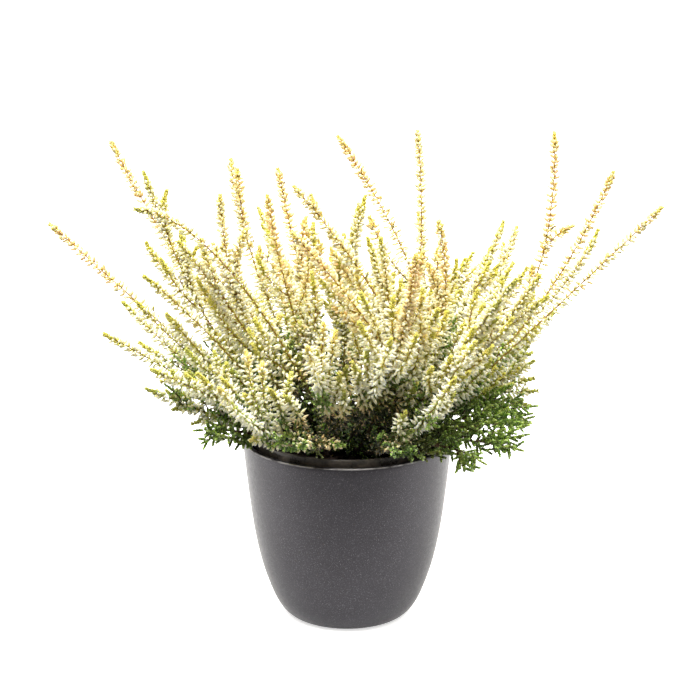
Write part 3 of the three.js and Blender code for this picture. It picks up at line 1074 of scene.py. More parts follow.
FLOWERING_SHOOTS = (
    Shoot((-30, 10), (-3, 0, -9), (-145, 30, 295), Habit.SPARSE, TipTone.GOLD),
    Shoot((-26, -3), (-3, 0, -28), (-122, -15, 286), Habit.TALL, TipTone.LIME, (
        (0.8, -107.9, -13.3, 274.5), (0.6, -89.9, -14.8, 239.8), (0.55, -98.3, -13.4, 245.6),
        (0.5, -100.7, -12.0, 249.0), (0.75, -109.8, -14.4, 268.0),
    )),
    Shoot((-10, -25), (-4, 0, 34), (-123, -80, 278), Habit.SPARSE, TipTone.OLIVE),
    Shoot((-42, -2), (6, 0, -6), (-180, -10, 253), Habit.SPARSE, TipTone.GOLD),
    Shoot((-23, -14), (0, 0, 4), (-100, -50, 252), Habit.LONE, TipTone.LIME, (
        (0.6, -87.0, -42.8, 250.4),
    )),
    Shoot((-31, -20), (-2, 0, 8), (-120, -62, 234), Habit.LONE, TipTone.LIME),
    Shoot((-40, 12), (0, 0, -9), (-140, 28, 194), Habit.LONE, TipTone.OLIVE),
    Shoot((-43, -14), (6, 0, -2), (-147, -35, 191), Habit.LONE, TipTone.LIME),
    Shoot((-33, -29), (5, 0, 0), (-115, -84, 183), Habit.FULL, TipTone.OLIVE, (
        (0.25, -74.1, -71.6, 157.9), (0.12, -64.0, -59.8, 145.5), (0.4, -71.7, -64.2, 181.6),
        (0.3, -79.1, -57.0, 186.9),
    )),
    Shoot((-40, 23), (8, 0, -8), (-133, 60, 158), Habit.FULL, TipTone.LIME, (
        (0.5, -119.6, 56.3, 132.8), (0.35, -109.2, 50.4, 124.0), (0.4, -70.1, 44.5, 170.6),
    )),
    Shoot((-46, 5), (10, 0, -7), (-124, -8, 148), Habit.FULL, TipTone.GREEN, (
        (0.55, -108.0, -7.4, 134.0), (0.35, -96.1, -3.8, 123.8), (0.3, -87.3, -4.4, 130.5),
        (0.2, -82.6, -3.8, 122.0), (0.5, -105.6, -5.4, 137.3),
    )),
    Shoot((-18, 18), (-10, 0, 6), (-73, 60, 278), Habit.TALL, TipTone.GOLD, (
        (0.64, -68.3, 47.1, 274.1), (0.36, -54.6, 30.2, 228.6), (0.12, -39.7, 34.1, 164.4),
    )),
    Shoot((-20, -10), (-13, 0, -8), (-75, -42, 278), Habit.TALL, TipTone.GOLD, (
        (0.2, -53.9, -26.6, 185.6), (0.45, -65.0, -35.0, 242.4), (0.5, -80.0, -30.8, 245.6),
        (0.22, -39.9, -27.0, 200.8), (0.6, -59.4, -38.2, 256.6), (0.15, -35.9, -23.0, 179.6),
    )),
    Shoot((-11, 30), (0, 0, 6), (-57, 95, 238), Habit.TALL, TipTone.LIME, ((0.6, -54.5, 87.2, 228.9),)),
    Shoot((-11, -3), (-6, 0, 6), (-48, -14, 272), Habit.TALL, TipTone.GOLD, (
        (0.25, -15.4, -9.9, 191.0), (0.2, -28.8, -11.4, 191.4), (0.2, -33.7, -8.7, 191.9),
        (0.15, -36.3, -7.5, 164.9), (0.2, -16.0, -9.6, 204.8),
    )),
    Shoot((-9, 10), (0, 0, -3), (-43, 40, 276), Habit.TALL, TipTone.GOLD, (
        (0.5, -25.5, 34.0, 246.7), (0.55, -21.2, 36.0, 239.9),
    )),
    Shoot((27, -12), (35, 0, -22), (-32, -35, 282), Habit.TALL, TipTone.GOLD, (
        (0.86, -21.5, -33.0, 276.6), (0.65, -12.1, -31.8, 253.8),
    )),
    Shoot((27, -32), (32, 0, -19), (-32, -95, 268), Habit.TALL, TipTone.GOLD, (
        (0.25, -9.6, -62.4, 216.6), (0.35, -12.5, -66.3, 233.4),
    )),
    Shoot((27, 22), (38, -1, -26), (-6, 75, 289), Habit.TALL, TipTone.GOLD),
    Shoot((-1, 3), (-5, 0, 4), (11, 4, 267), Habit.TALL, TipTone.LIME, (
        (0.72, 7.1, 3.8, 262.0), (0.3, -15.5, 3.6, 201.2), (0.45, -10.0, 3.8, 211.3),
        (0.65, 2.9, 3.9, 247.6), (0.3, -11.8, 3.7, 202.4), (0.5, -10.6, 3.8, 218.8),
    )),
    Shoot((18, 7), (12, 0, -20), (43, 30, 302), Habit.SPARSE, TipTone.GOLD),
    Shoot((29, -4), (15, -2, -10), (54, -40, 262), Habit.TALL, TipTone.GOLD, (
        (0.4, 49.4, -32.1, 230.6), (0.5, 47.5, -32.0, 234.3), (0.35, 38.8, -29.2, 221.2),
    )),
    Shoot((6, -20), (11, 0, -8), (19, -75, 260), Habit.TALL, TipTone.LIME, (
        (0.3, 5.1, -51.9, 218.6), (0.25, 2.8, -54.4, 215.6), (0.45, 11.5, -62.9, 257.2),
        (0.5, 14.5, -61.2, 244.1),
    )),
    Shoot((8, -40), (5, 0, -4), (39, -110, 259), Habit.TALL, TipTone.GOLD, (
        (0.4, 35.0, -93.2, 226.1), (0.55, 43.8, -97.4, 258.0),
    )),
    Shoot((21, 29), (0, 0, 0), (80, 72, 214), Habit.FULL, TipTone.LIME, (
        (0.5, 75.3, 65.6, 196.3), (0.6, 75.3, 68.6, 211.2), (0.5, 86.6, 65.6, 209.4),
        (0.3, 72.4, 53.9, 194.2), (0.5, 88.3, 59.1, 196.7),
    )),
    Shoot((27, 13), (8, 0, 3), (98, 50, 240), Habit.TALL, TipTone.LIME, (
        (0.5, 90.2, 42.6, 225.5), (0.45, 93.5, 39.8, 209.5), (0.6, 89.8, 47.0, 223.1),
        (0.5, 95.4, 42.6, 214.0),
    )),
    Shoot((30, 36), (7, 0, -13), (110, 110, 222), Habit.LONE, TipTone.GOLD, (
        (0.6, 103.2, 101.1, 204.3), (0.7, 101.3, 105.6, 212.5),
    )),
    Shoot((36, 4), (26, 0, -22), (126, 20, 303), Habit.SPARSE, TipTone.GOLD, (
        (0.64, 138.7, 15.2, 245.5), (0.42, 114.0, 13.5, 221.4),
    )),
    Shoot((38, -7), (8, 0, -16), (160, -10, 285), Habit.SPARSE, TipTone.GOLD),
    Shoot((38, 18), (20, 0, 5), (157, 48, 235), Habit.LONE, TipTone.LIME, ((0.5, 116.6, 37.5, 198.5),)),
    Shoot((44, -10), (6, 0, 5), (187, -35, 269), Habit.SPARSE, TipTone.GOLD),
    Shoot((31, -20), (0, 0, 0), (98, -85, 238), Habit.TALL, TipTone.OLIVE, (
        (0.5, 88.8, -78.5, 223.4), (0.4, 88.3, -69.4, 210.0), (0.3, 81.9, -62.2, 197.0),
    )),
    Shoot((37, -13), (4, 0, 0), (114, -52, 232), Habit.TALL, TipTone.LIME, (
        (0.45, 119.9, -43.4, 216.4), (0.5, 107.2, -46.2, 217.1), (0.35, 99.9, -34.3, 204.0),
        (0.5, 91.8, -42.2, 228.3),
    )),
    Shoot((44, 8), (4, 0, 0), (117, 26, 156), Habit.FULL, TipTone.GREEN, (
        (0.55, 112.7, 24.4, 166.6), (0.45, 109.0, 22.0, 158.8), (0.4, 117.2, 19.5, 146.5),
        (0.3, 119.1, 17.2, 138.8), (0.25, 114.8, 15.2, 129.6), (0.2, 103.7, 13.0, 144.6),
        (0.15, 93.7, 12.2, 146.1),
    )),
    Shoot((22, -41), (2, 0, -4), (62, -115, 187), Habit.LOW, TipTone.LIME),
    Shoot((2, -32), (2, -2, 0), (25, -120, 212), Habit.LOW, TipTone.LIME, ((0.2, 2.7, -92.4, 189.9),)),
    Shoot((19, -24), (2, 6, 0), (53, -86, 220), Habit.FULL, TipTone.LIME, ((0.3, 48.8, -66.6, 189.7),)),
    Shoot((30, -29), (2, -2, 0), (74, -105, 206), Habit.FULL, TipTone.LIME, (
        (0.3, 71.7, -84.4, 181.4),
    )),
    Shoot((-6, -36), (0, -2, 0), (-23, -122, 208), Habit.LOW, TipTone.GOLD, (
        (0.25, -6.6, -84.2, 206.9), (0.4, -13.4, -102.1, 216.7),
    )),
    Shoot((-21, -34), (-4, -6, -6), (-73, -130, 186), Habit.LOW, TipTone.GOLD, (
        (0.2, -57.0, -93.5, 142.6), (0.12, -46.8, -80.8, 134.8), (0.35, -58.8, -90.1, 196.5),
        (0.3, -49.7, -86.5, 188.1), (0.2, -32.6, -71.6, 177.6),
    )),
    Shoot((-13, -43), (0, 0, 6), (-30, -88, 134), Habit.LOW, TipTone.GREEN, (
        (0.4, -0.8, -79.9, 134.5), (0.3, -37.4, -78.6, 141.5),
    )),
    Shoot((15, -45), (0, 0, 6), (31, -84, 130), Habit.LOW, TipTone.GREEN, (
        (0.4, 39.4, -79.3, 144.2), (0.3, 23.0, -73.1, 133.5),
    )),
    Shoot((-24, 36), (0, 2, 4), (-98, 148, 172), Habit.FULL, TipTone.LIME, (
        (0.3, -65.1, 109.6, 145.5), (0.2, -55.3, 86.2, 144.1),
    )),
    Shoot((-9, 44), (0, 0, 4), (-38, 166, 180), Habit.FULL, TipTone.LIME, (
        (0.2, -1.5, 78.2, 155.8), (0.5, -32.1, 147.7, 192.5),
    )),
    Shoot((9, 44), (0, 0, 4), (42, 166, 174), Habit.FULL, TipTone.OLIVE),
    Shoot((22, 42), (2, 2, 2), (92, 148, 164), Habit.FULL, TipTone.LIME, ((0.5, 81.2, 127.6, 147.2),)),
    Shoot((-32, 32), (-2, 2, 4), (-105, 105, 195), Habit.FULL, TipTone.LIME),
    Shoot((39, 28), (3, 0, -8), (136, 104, 168), Habit.FULL, TipTone.GREEN, (
        (0.6, 118.5, 94.9, 161.8), (0.45, 115.4, 83.1, 154.4), (0.35, 106.9, 69.4, 151.6),
        (0.4, 119.3, 72.1, 148.2),
    )),
    Shoot((2, 36), (0, 2, 2), (6, 132, 228), Habit.TALL, TipTone.GOLD, (
        (0.2, -2.8, 79.1, 160.9), (0.15, 1.7, 67.5, 153.5), (0.4, -11.2, 109.7, 200.8),
    )),
)

LEAFY_SHOOTS = (
    Shoot((-38, -25), (0, 0, 6), (-92, -58, 136), Habit.LOW, TipTone.GREEN),
    Shoot((46, -2), (0, 0, 5), (118, 2, 133), Habit.LOW, TipTone.GREEN),
    Shoot((43, -17), (0, 0, 7), (112, -38, 134), Habit.LOW, TipTone.GREEN),
    Shoot((40, -26), (2, 0, 8), (104, -54, 123), Habit.LOW, TipTone.GREEN),
    Shoot((31, -36), (3, 0, 11), (80, -64, 119), Habit.LOW, TipTone.GREEN),
)


class Cuttings:
    """The small shapes that the plant is made of."""

    def __init__(self) -> None:
        """Makes each shape once."""
        self.bud = Template("bud", spindle(4, ((0.27, 0.7), (0.6, 1.0)), 0.09))
        self.young_bud = Template("young_bud", spindle(4, ((0.28, 0.84), (0.7, 0.9)), 0.08))
        self.leaf = Template("leaf", spindle(3, ((0.5, 1.0),), 0.1))
        self.finger = Template("finger", scaly_finger(7, 4), self.scale_edge)
        self.twiglet = Template("twiglet", scaly_finger(4, 3), self.scale_edge)

    @staticmethod
    def scale_edge(place: Vector) -> float:
        """1 on the edge of a scale leaf or at the twig's tip, 0 in the waist between: where the leaf
        finish paints pale points and a highlight.
        """
        return max(clamp((place.to_2d().length - 0.08) / 0.05), clamp(place.z * 3 - 2))


def openness(point: Vector) -> float:
    """How far a point is from the heart of the bush, where buds and leaves get painted shade: 0 in it, 1
    outside.
    """
    return clamp(((point - HEART).length - 0.042) / 0.05)


def rise(point: Vector, low: float, reach: float) -> float:
    """How high a point is: 0 up to the height low, 1 from reach above it."""
    return clamp((point.z - low) / reach)


@dataclass
class Growth:
    """What grows at one CAD node: its wood, buds and leaves, from its own random numbers."""

    node: str
    cuttings: Cuttings
    rng: Random
    wood: Shape = field(default_factory=new_shape)
    buds: Shape = field(default_factory=new_shape)
    leaves: Shape = field(default_factory=new_shape)
    twig_stem: Stem = Stem(0.45, 0.25, 5, 4)

    def bark(self, height: float) -> Callable[[float], Tint]:
        """Tints for the bark of a stem, in random shades."""
        return lambda share: Tint(share, self.rng.random(), height)

    def set_leafy(self, template: Template, point: Vector, out: Vector, size: Pair, tint: Tint) -> None:
        """Adds one leaf or leafy twig.

        Args:
            template: its shape.
            point: where its foot is.
            out: which way it points.
            size: its length and its breadth, in millimetres.
            tint: its tint.
        """
        stand = standing(point, out, self.rng.uniform(0, math.tau), size)
        template.stamp(self.leaves, stand, tint)

    def set_finger(self, template: Template, point: Vector, out: Vector, light: float) -> None:
        """Adds one scaly leafy twig of a random length.

        Args:
            template: its shape.
            point: where its foot is.
            out: which way it points.
            light: how light its green may be.
        """
        size = (self.rng.uniform(5.5, 8.5), self.rng.uniform(7.2, 8.8))
        # painted shade: openness darkens the fingers in the heart of the bush
        shade = self.rng.uniform(0.4, 1.0) * openness(point)
        self.set_leafy(template, point, out, size, Tint(0, shade, light * self.rng.random()))

    def grow_twig(self, template: Template, route: Route, fingers: int, light: float) -> None:
        """Adds a thin twig clad in scaly fingers.

        Args:
            template: the fingers' shape.
            route: the twig's middle line.
            fingers: how many fingers it has.
            light: how light their green may be.
        """
        self.twig_stem.grow(self.wood, route, self.bark(0.2))
        for i in range(fingers):
            point, axis = route.along(0.12 + 0.88 * i / fingers)
            side = side_of(axis, 2.4 * i + self.rng.uniform(-0.5, 0.5))
            self.set_finger(template, point, (axis * 0.85 + side).normalized(), light)
        point, axis = route.at(route.length)
        self.set_finger(template, point, axis, light * 1.5)

    def place(self) -> list[bpy.types.Object]:
        """Makes the pieces that stand for the node.

        Returns:
            The pieces of wood, buds and leaves, as far as there are any.
        """
        pieces = []
        for part, slot in (("wood", Slot.BARK), ("buds", Slot.BLOSSOM), ("leaves", Slot.FOLIAGE)):
            shape = getattr(self, part)
            if len(shape.verts):
                pieces.append(place_piece(f"{self.node}_{part}", shape, slot, self.node))
            else:
                shape.free()
        return pieces


@dataclass(frozen=True)
class Stage:
    """The buds at one place on a spike: sizes in millimetres, spread from the axis in degrees."""

    place: float
    length: float
    width: float
    spread: float
    droop: float
    gap: float
    young: float

    def towards(self, other: "Stage", share: float) -> "Stage":
        """The stage that share of the way to another."""
        return Stage(*(blend(a, b, share) for a, b in zip(astuple(self), astuple(other))))


STAGES = (
    Stage(0.0, 3.3, 1.05, 42, 0.0, 2.1, 1.0),
    Stage(0.4, 4.4, 1.0, 54, 0.0, 2.7, 0.9),
    Stage(1.0, 5.2, 0.95, 60, 0.08, 3.1, 0.45),
    Stage(1.4, 5.5, 0.92, 62, 0.15, 3.2, 0.12),
    Stage(2.0, 5.8, 0.92, 70, 0.38, 3.2, 0.0),
)


@dataclass
class Spike:
    """One flowering axis: a stem with whorls of buds that ends in a growing tip."""

    growth: Growth
    route: Route
    stem: Stem
    bloom: Bloom
    tone: TipTone
    blush: float
    young_tip: float
    bare: float
    ripening: float = 0.032

    def stage(self, distance: float) -> Stage:
        """The stage of the buds at a distance along the axis.

        Args:
            distance: in metres from its foot.

        Returns:
            The stage, between two of the named ones.
        """
        from_tip = self.route.length - distance
        place = from_tip / self.young_tip
        if place > 1:
            place = min(1 + (from_tip - self.young_tip) / self.ripening, 1.999)
        before, after = next(pair for pair in pairwise(STAGES) if pair[1].place > place)
        return before.towards(after, (place - before.place) / (after.place - before.place))

    def bark_tint(self, share: float) -> Tint:
        """Bark tint at a share of the length.

        Args:
            share: how far along the stem.

        Returns:
            The tint: brown low in the plant, olive to orange higher up.
        """
        point, _ = self.route.along(share)
        olive = clamp(0.6 * self.growth.rng.random() + 0.7 - 0.7 * rise(point, 0.15, 0.1))
        return Tint(share, olive, clamp(rise(point, 0.13, 0.045) * 0.75 + share * 0.5))

    def tip_length(self) -> float:
        """Length of the growing tip, longer the greener it is."""
        return blend(14.0, 4.0, self.tone.value[0]) * MM

    def grow_tip(self) -> None:
        """Adds the growing tip, a knobbly tuft of small leaves."""
        rng = self.growth.rng
        shade, light = self.tone.value
        length = self.tip_length() * rng.uniform(0.8, 1.2)
        rows = 3 + round(length / MM / 1.5)
        for i in range(rows):
            share = i / (rows - 1)
            back = length * (1 - share) + rng.uniform(1.6, 2.2) * MM
            point, axis = self.route.at(self.route.length - back)
            for k in range(rng.choice((4, 5))):
                side = side_of(axis, 1.3 * k + 0.5 * i + rng.uniform(-0.3, 0.3))
                out = (axis + side * blend(1.5, 0.5, share) * rng.uniform(0.6, 1.3)).normalized()
                size = (rng.uniform(2.4, 3.3), rng.uniform(0.75, 1.0))
                # painted shade: openness takes the tip's gold away in the heart of the bush
                tint = Tint(0, clamp(shade + rng.uniform(-0.3, 0.3)), light * openness(point))
                self.growth.set_leafy(self.growth.cuttings.leaf, point, out, size, tint)

    def grow_whorls(self) -> None:
        """Adds the buds, with small leaves under each whorl and a leafy twig here and there."""
        rng = self.growth.rng
        distance, turn = self.bare, rng.uniform(0, math.tau)
        last = self.route.length - 0.6 * self.tip_length()
        while distance < last:
            stage = self.stage(distance)
            count = rng.choice((3, 4) if stage.place > 1.2 else (4, 4, 5))
            for k in range(count):
                self.set_bud(distance, turn + math.tau * k / count, stage)
            for k in range(3):
                self.set_leaf(distance, turn + 0.6 + math.tau * k / 3, stage)
            if rng.random() < 0.1 * stage.place - 0.04:
                self.set_shootlet(distance)
            turn += math.pi / count + rng.uniform(-0.3, 0.3)
            distance += stage.gap * self.bloom.spacing * rng.uniform(0.8, 1.25) * MM

    def set_bud(self, distance: float, turn: float, stage: Stage) -> None:
        """Adds one bud.

        Args:
            distance: its place along the axis.
            turn: its angle round the axis.
            stage: how far it has grown.
        """
        growth, rng = self.growth, self.growth.rng
        point, axis = self.route.at(distance + rng.uniform(-0.7, 0.7) * MM)
        hang = 1.4 * stage.droop
        side = (side_of(axis, turn) - UP * hang * (1 - abs(axis.z))).normalized()
        spread = math.radians(stage.spread + rng.uniform(-16, 16))
        droop = stage.droop * rng.uniform(0.4, 1.25)
        out = (axis * math.cos(spread) + side * math.sin(spread) - UP * droop).normalized()
        grown = blend(stage.length, self.bloom.bud, clamp((stage.place - 1) * 2))
        size = (grown * rng.uniform(0.82, 1.14), stage.width * rng.uniform(0.88, 1.12))
        stand = standing(point + side * 0.3 * MM, out, rng.uniform(0, math.tau), size)
        # painted shade: in the heart of the bush a bud's shade goes to the ramp's dark end and its youth
        # is taken away
        open_ = clamp(1.7 * openness(point))
        young = clamp(stage.young * 0.85 + 0.25 * rise(point, 0.175, 0.1)) * open_
        warm = 0.85 * self.blush * rise(point, 0.155, 0.06)
        shade = clamp(warm + rng.uniform(-0.35, 0.35), 0.0, 0.8)
        template = growth.cuttings.bud if stage.place > 0.9 else growth.cuttings.young_bud
        template.stamp(growth.buds, stand, Tint(0, blend(1.0, shade, open_), young))

    def leaf_light(self, point: Vector, young: float) -> float:
        """How light the leaves are: deep green low in the plant, gold at the top."""
        jitter = self.growth.rng.uniform(-0.15, 0.15)
        return min(clamp(rise(point, 0.14, 0.055) * 0.85 + young * 0.15 + jitter), self.tone.value[1])

    def set_leaf(self, distance: float, turn: float, stage: Stage) -> None:
        """Adds one small leaf that clasps the stem.

        Args:
            distance: its place along the axis.
            turn: its angle round the axis.
            stage: how far the buds beside it have grown.
        """
        growth, rng = self.growth, self.growth.rng
        point, axis = self.route.at(distance)
        out = (axis + side_of(axis, turn) * rng.uniform(0.6, 1.2)).normalized()
        light = self.leaf_light(point, stage.young)
        scale = blend(1.25, 1.0, light)
        size = (rng.uniform(2.4, 3.6) * scale, 0.58 * scale)
        shade = clamp(self.tone.value[0] + rng.uniform(-0.35, 0.35))
        # painted shade: openness darkens low leaves in the heart of the bush
        tint = Tint(0, blend(rng.random() * openness(point), shade, light), light)
        growth.set_leafy(growth.cuttings.leaf, point, out, size, tint)

    def set_shootlet(self, distance: float) -> None:
        """Adds a short leafy side twig among the buds.

        Args:
            distance: its place along the axis.
        """
        growth, rng = self.growth, self.growth.rng
        point, axis = self.route.at(distance)
        out = (axis * 0.8 + side_of(axis, rng.uniform(0, math.tau))).normalized()
        size = (rng.uniform(4.5, 7.0), rng.uniform(6.0, 7.5))
        tint = Tint(0, rng.random(), clamp(self.leaf_light(point, 0.0) + 0.15))
        growth.set_leafy(growth.cuttings.twiglet, point, out, size, tint)

    def grow(self) -> None:
        """Adds the whole spike."""
        self.stem.grow(self.growth.wood, self.route, self.bark_tint)
        self.grow_whorls()
        self.grow_tip()


@dataclass
class FloweringShoot:
    """A whole flowering shoot: its main spike, side spikes and leafy twigs at the foot."""

    growth: Growth
    plan: Shoot
    stem: Stem = Stem(1.05, 0.26, 26, 6, 0.6)
    side_stem: Stem = Stem(0.6, 0.26, 8, 4, 0.6)
    twin_bare: float = 0.004
    side_bare: float = 0.007
    side_length: Pair = (0.045, 0.075)
    side_tips: Pair = (0.135, 0.244)
    side_tries: int = 14
    twigs: int = 4
    foot_leaves: int = 22

    def build(self) -> None:
        """Grows the shoot and makes the three pieces that stand for it."""
        growth, plan, bloom = self.growth, self.plan, self.plan.habit.value
        route, blush, young = plan.route(), plan.tone.blush(growth.rng), bloom.young_tip * MM
        bare = min(0.16 * route.length, bloom.bare * MM)
        Spike(growth, route, self.stem, bloom, plan.tone, blush, young, bare).grow()
        for share, *tip in plan.twins:
            start, axis = route.along(share)
            end = Vector(tip) * MM
            twin = Route(start, start + axis * 0.45 * (end - start).length, end)
            tender = min(young, twin.length * 0.6)
            Spike(growth, twin, self.side_stem, bloom, plan.tone, blush, tender, self.twin_bare).grow()
        for i in range(bloom.side_spikes):
            self.grow_side_spike(route, i)
        self.grow_undergrowth(route)
        growth.place()

    def grow_side_spike(self, route: Route, index: int) -> None:
        """Adds one side spike, shorter than the stretch of main spike that is left.

        Args:
            route: the main spike's middle line.
            index: how many side spikes are below it.
        """
        rng = self.growth.rng
        share = rng.uniform(0.1, 0.2) + 0.11 * index
        left = route.length * (1 - share)
        length = min(rng.uniform(*self.side_length), left * 0.5)
        lowest, highest = self.side_tips
        for _ in range(self.side_tries):
            turn = rng.uniform(0, math.tau)
            side = route.branch(route.length * share, length, turn, rng.uniform(0.25, 0.5))
            tip = side.points[-1].z
            if max(lowest, side.points[0].z + 0.5 * length) < tip < highest:
                break
        else:
            return
        tone = rng.choice((TipTone.LIME, TipTone.GREEN if tip < 0.2 else TipTone.GOLD, TipTone.LIME))
        young, bloom = rng.uniform(6, 16) * MM, self.plan.habit.value
        blush = tone.blush(rng)
        Spike(self.growth, side, self.side_stem, bloom, tone, blush, young, self.side_bare).grow()

    def grow_undergrowth(self, route: Route) -> None:
        """Adds leafy twigs round the foot of the shoot.

        Args:
            route: the main spike's middle line.
        """
        growth, rng = self.growth, self.growth.rng
        for _ in range(self.twigs):
            distance, length = rng.uniform(0.01, 0.06), rng.uniform(0.01, 0.02)
            turn = rng.uniform(0, math.tau)
            twig = route.branch(distance, length, turn, rng.uniform(0.4, 0.8))
            if twig.points[-1].z > max(0.128, twig.points[0].z):
                growth.grow_twig(growth.cuttings.twiglet, twig, 7, 0.15)
        for _ in range(self.foot_leaves):
            point, axis = route.at(rng.uniform(0.002, 0.056))
            out = axis * rng.uniform(0.5, 1.1) + side_of(axis, rng.uniform(0, math.tau))
            out.z = max(out.z, 0.3)
            size = (rng.uniform(8.0, 12.0), rng.uniform(9.0, 12.0))
            # painted shade: openness darkens the twiglets in the heart of the bush
            tint = Tint(0, rng.uniform(0.3, 1.0) * openness(point), rise(point, 0.145, 0.045) * 0.8)
            growth.set_leafy(growth.cuttings.twiglet, point, out.normalized(), size, tint)


@dataclass
class LeafyShoot:
    """A low shoot without flowers: a brown stem with many scaly green twigs."""

    growth: Growth
    plan: Shoot
    stem: Stem = Stem(1.1, 0.35, 20, 6)
    hangs_below: float = 125.0
    bare: float = 0.006
    light: float = 0.2

    def build(self) -> None:
        """Grows the shoot and makes the two pieces that stand for it."""
        growth, rng, whole = self.growth, self.growth.rng, self.plan.route()
        hanging = self.plan.tip[2] < self.hangs_below
        middle, _ = whole.along(0.5)
        end, _ = whole.along(0.98 if hanging else 0.93)
        route = Route(whole.points[0], middle, end)
        self.stem.grow(growth.wood, route, growth.bark(0.12))
        finger, lift = growth.cuttings.finger, UP * (-0.3 if hanging else 0.15)
        distance = self.bare
        while distance < route.length - 0.003:
            turn = rng.uniform(0, math.tau)
            if rng.random() < 0.42 and distance < route.length - 0.012:
                length = rng.uniform(0.008, 0.014)
                twig = route.branch(distance, length, turn, rng.uniform(0.6, 1.0))
                growth.grow_twig(finger, twig, 6, self.light)
            else:
                point, axis = route.at(distance)
                out = (axis * 0.6 + side_of(axis, turn) + lift).normalized()
                growth.set_finger(finger, point, out, self.light)
            distance += rng.uniform(0.8, 1.5) * MM
        point, axis = route.at(route.length - 0.002)
        growth.set_finger(finger, point, axis, self.light * 1.5)
        growth.place()


@dataclass
class RootCrown:
    """The woody crown: a short trunk in the compost and a limb for each shoot."""

    cuttings: Cuttings
    plans: Sequence[Shoot]
    trunk_radius: float = 6.4
    foot: float = 84.0
    trunk_top: float = 116.0
    lowest: float = 114.0
    limb: Stem = Stem(2.6, 1.25, 8, 7)
    voxel: float = 0.0014
    twigs: int = 8
    seed: int = 3

    def trunk(self) -> Shape:
        """Turns the short trunk, with a chamfered foot and top.

        Returns:
            The bmesh.
        """
        radius, foot, top = self.trunk_radius, self.foot, self.trunk_top
        sides = [(radius - 2.4, foot), (radius, foot + 6), (radius, top - 4), (radius - 2, top)]
        return turned([(0, foot), *sides, (0, top + 1)], 24)

    def limb_route(self, plan: Shoot) -> Route:
        """The middle line of the limb that carries a shoot.

        Args:
            plan: the shoot.

        Returns:
            The route from the trunk to the shoot's foot, which it meets in the shoot's direction.
        """
        end, points = plan.limb_end(), plan.route().points
        away = (points[1] - points[0]).normalized()
        start = Vector((0, 0, self.lowest * MM))
        reach = min(0.4 * (end - start).length, (end.z - start.z) / away.z)
        return Route(start, end - away * reach, end)

    def build(self) -> None:
        """Makes the pieces that stand for the crown: its wood and the leafy twigs on it."""
        rng = Random(self.seed)
        growth = Growth("root_crown", self.cuttings, rng, self.trunk())
        limbs = [self.limb_route(plan) for plan in self.plans]
        for limb in limbs:
            self.limb.grow(growth.wood, limb, growth.bark(0.1))
        for limb in limbs:
            for i in range(self.twigs):
                point, axis = limb.along(0.4 + 0.6 * i / self.twigs)
                side = side_of(axis, rng.uniform(0, math.tau))
                out = (axis * 0.5 + side + UP * 0.5).normalized()
                size = (rng.uniform(10.0, 16.0), rng.uniform(11.0, 15.0))
                # painted shade: the crown's twigs sit in the heart of the bush and take a near-black
                # deep green
                tint = Tint(0, rng.random() * 0.15, 0.0)
                growth.set_leafy(self.cuttings.twiglet, point, out, size, tint)
        wood, _ = growth.place()
        remesh = wood.modifiers.new("grown_together", "REMESH")
        remesh.mode = "VOXEL"
        remesh.voxel_size = self.voxel
        remesh.use_smooth_shade = True


# ---------------------------------------------------------------- studio


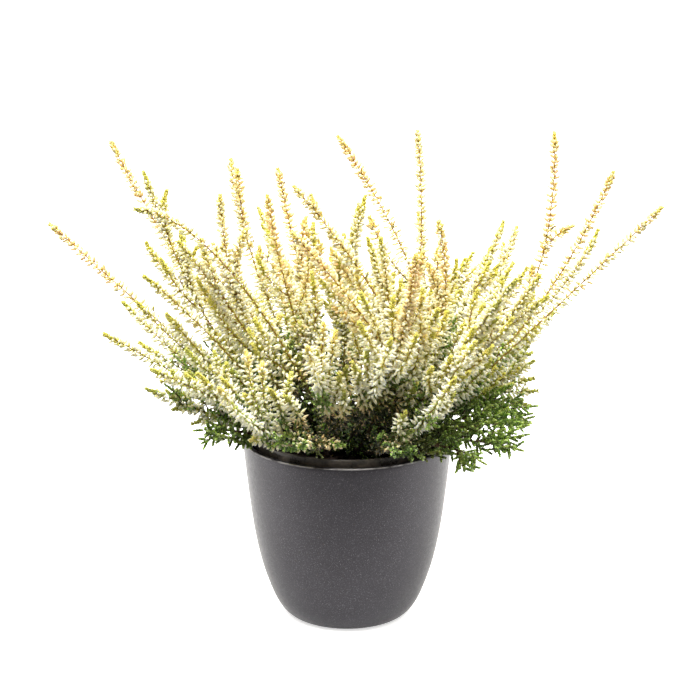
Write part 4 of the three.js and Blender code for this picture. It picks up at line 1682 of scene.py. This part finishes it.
@dataclass
class Studio:
    """Camera, floor and soft lights."""

    camera_place: Triple = (0.0, -1.6173, 0.6386)
    look_at_rim: Triple = (0.0, 0.0, 0.115)
    light_at: Triple = (0.0, 0.0, 0.18)
    lens: float = 140.8
    sensor: float = 36.0
    frame_pixels: int = 700
    rim_pixel: Pair = (347.3, 435.7)
    floor_radius: float = 6.0
    surroundings: Colour = (1.0, 0.97, 0.9, 1.0)
    wall_span: Pair = (-0.9, 0.1)
    wall_light: Pair = (0.16, 0.88)
    ceiling_span: Pair = (0.25, 0.85)
    ceiling_light: Pair = (0.0, 1.3)

    @staticmethod
    def aim(place: Vector, target: Triple) -> Matrix:
        """A turn that lets a camera or light at a place look at a target."""
        return (Vector(target) - place).to_track_quat("-Z", "Y").to_matrix().to_4x4()

    def set_camera(self) -> None:
        """Makes the camera that looks at the plant from the front, a little from above."""
        data = bpy.data.cameras.new("camera")
        data.lens = self.lens
        data.sensor_width = self.sensor
        data.clip_start, data.clip_end = 0.05, 60
        place, focal = Vector(self.camera_place), self.lens / self.sensor * self.frame_pixels
        left, down = (math.atan((pixel - self.frame_pixels / 2) / focal) for pixel in self.rim_pixel)
        aim = self.aim(place, self.look_at_rim)
        aim = aim @ Matrix.Rotation(down, 4, "X") @ Matrix.Rotation(left, 4, "Y")
        camera = add_object("camera", data)
        camera.matrix_world = Matrix.Translation(place) @ aim
        bpy.context.scene.camera = camera

    def set_floor(self) -> None:
        """Makes the plain pale floor."""
        shape = bmesh.new()
        bmesh.ops.create_circle(shape, cap_ends=True, segments=64, radius=self.floor_radius)
        mesh = as_mesh("studio_floor", shape)
        mesh.materials.append(FloorFinish().owner)
        add_object("studio_floor", mesh)

    def set_light(self, name: str, place: Triple, size: float, power: float) -> None:
        """Makes one square soft light that shines at the plant.

        Args:
            name: its name.
            place: where it hangs.
            size: its side, in metres.
            power: in watts.
        """
        data = bpy.data.lights.new(name, "AREA")
        data.size = size
        data.energy = power
        spot = Vector(place)
        add_object(name, data).matrix_world = Matrix.Translation(spot) @ self.aim(spot, self.light_at)

    def set_world(self) -> None:
        """Makes the white surroundings, which light the plant less from the front."""
        sheet = NodeSheet(bpy.data.worlds.new("white_studio"), "Background")
        toward = sheet.add("TexCoord", "Generated")
        soft = {"interpolation_type": "SMOOTHSTEP"}
        wall = sheet.span(sheet.part(toward, "Y"), self.wall_span, self.wall_light, **soft)
        ceiling = sheet.span(sheet.part(toward, "Z"), self.ceiling_span, self.ceiling_light, **soft)
        inputs = {
            sheet.SHARE: sheet.add("LightPath", "Is Camera Ray"),
            sheet.VALUE_A: sheet.combine("ADD", wall, ceiling),
            sheet.VALUE_B: 1.0,
        }
        light = sheet.add("Mix", sheet.MIXED_VALUE, inputs, data_type="FLOAT")
        sheet.surface(Color=self.surroundings, Strength=light)
        bpy.context.scene.world = sheet.owner

    def build(self) -> None:
        """Makes the whole studio."""
        self.set_camera()
        self.set_floor()
        self.set_world()
        self.set_light("key_light", (-0.7, -1.2, 2.4), 0.8, 62)
        self.set_light("fill_light", (1.2, -0.9, 2.4), 1.2, 26)
        self.set_light("top_light", (0.1, 0.7, 2.7), 1.2, 42)
        view = bpy.context.scene.view_settings
        view.view_transform = "Standard"
        view.look = "None"


def main() -> None:
    """Builds the studio, the pots, the compost and the plant."""
    logging.basicConfig(level=logging.INFO, format="%(name)s: %(message)s")
    Studio().build()
    pot, cuttings = GrowerPot(), Cuttings()
    CoverPot().build()
    pot.build()
    Compost(pot).build()
    RootCrown(cuttings, (*FLOWERING_SHOOTS, *LEAFY_SHOOTS)).build()
    for kind, name, plans, seed in (
        (FloweringShoot, "flowering_shoot", FLOWERING_SHOOTS, 100),
        (LeafyShoot, "leafy_shoot", LEAFY_SHOOTS, 200),
    ):
        for i, plan in enumerate(plans, start=1):
            kind(Growth(f"{name}_{i:02d}", cuttings, Random(seed + i)), plan).build()


if __name__ == "__main__":
    main()
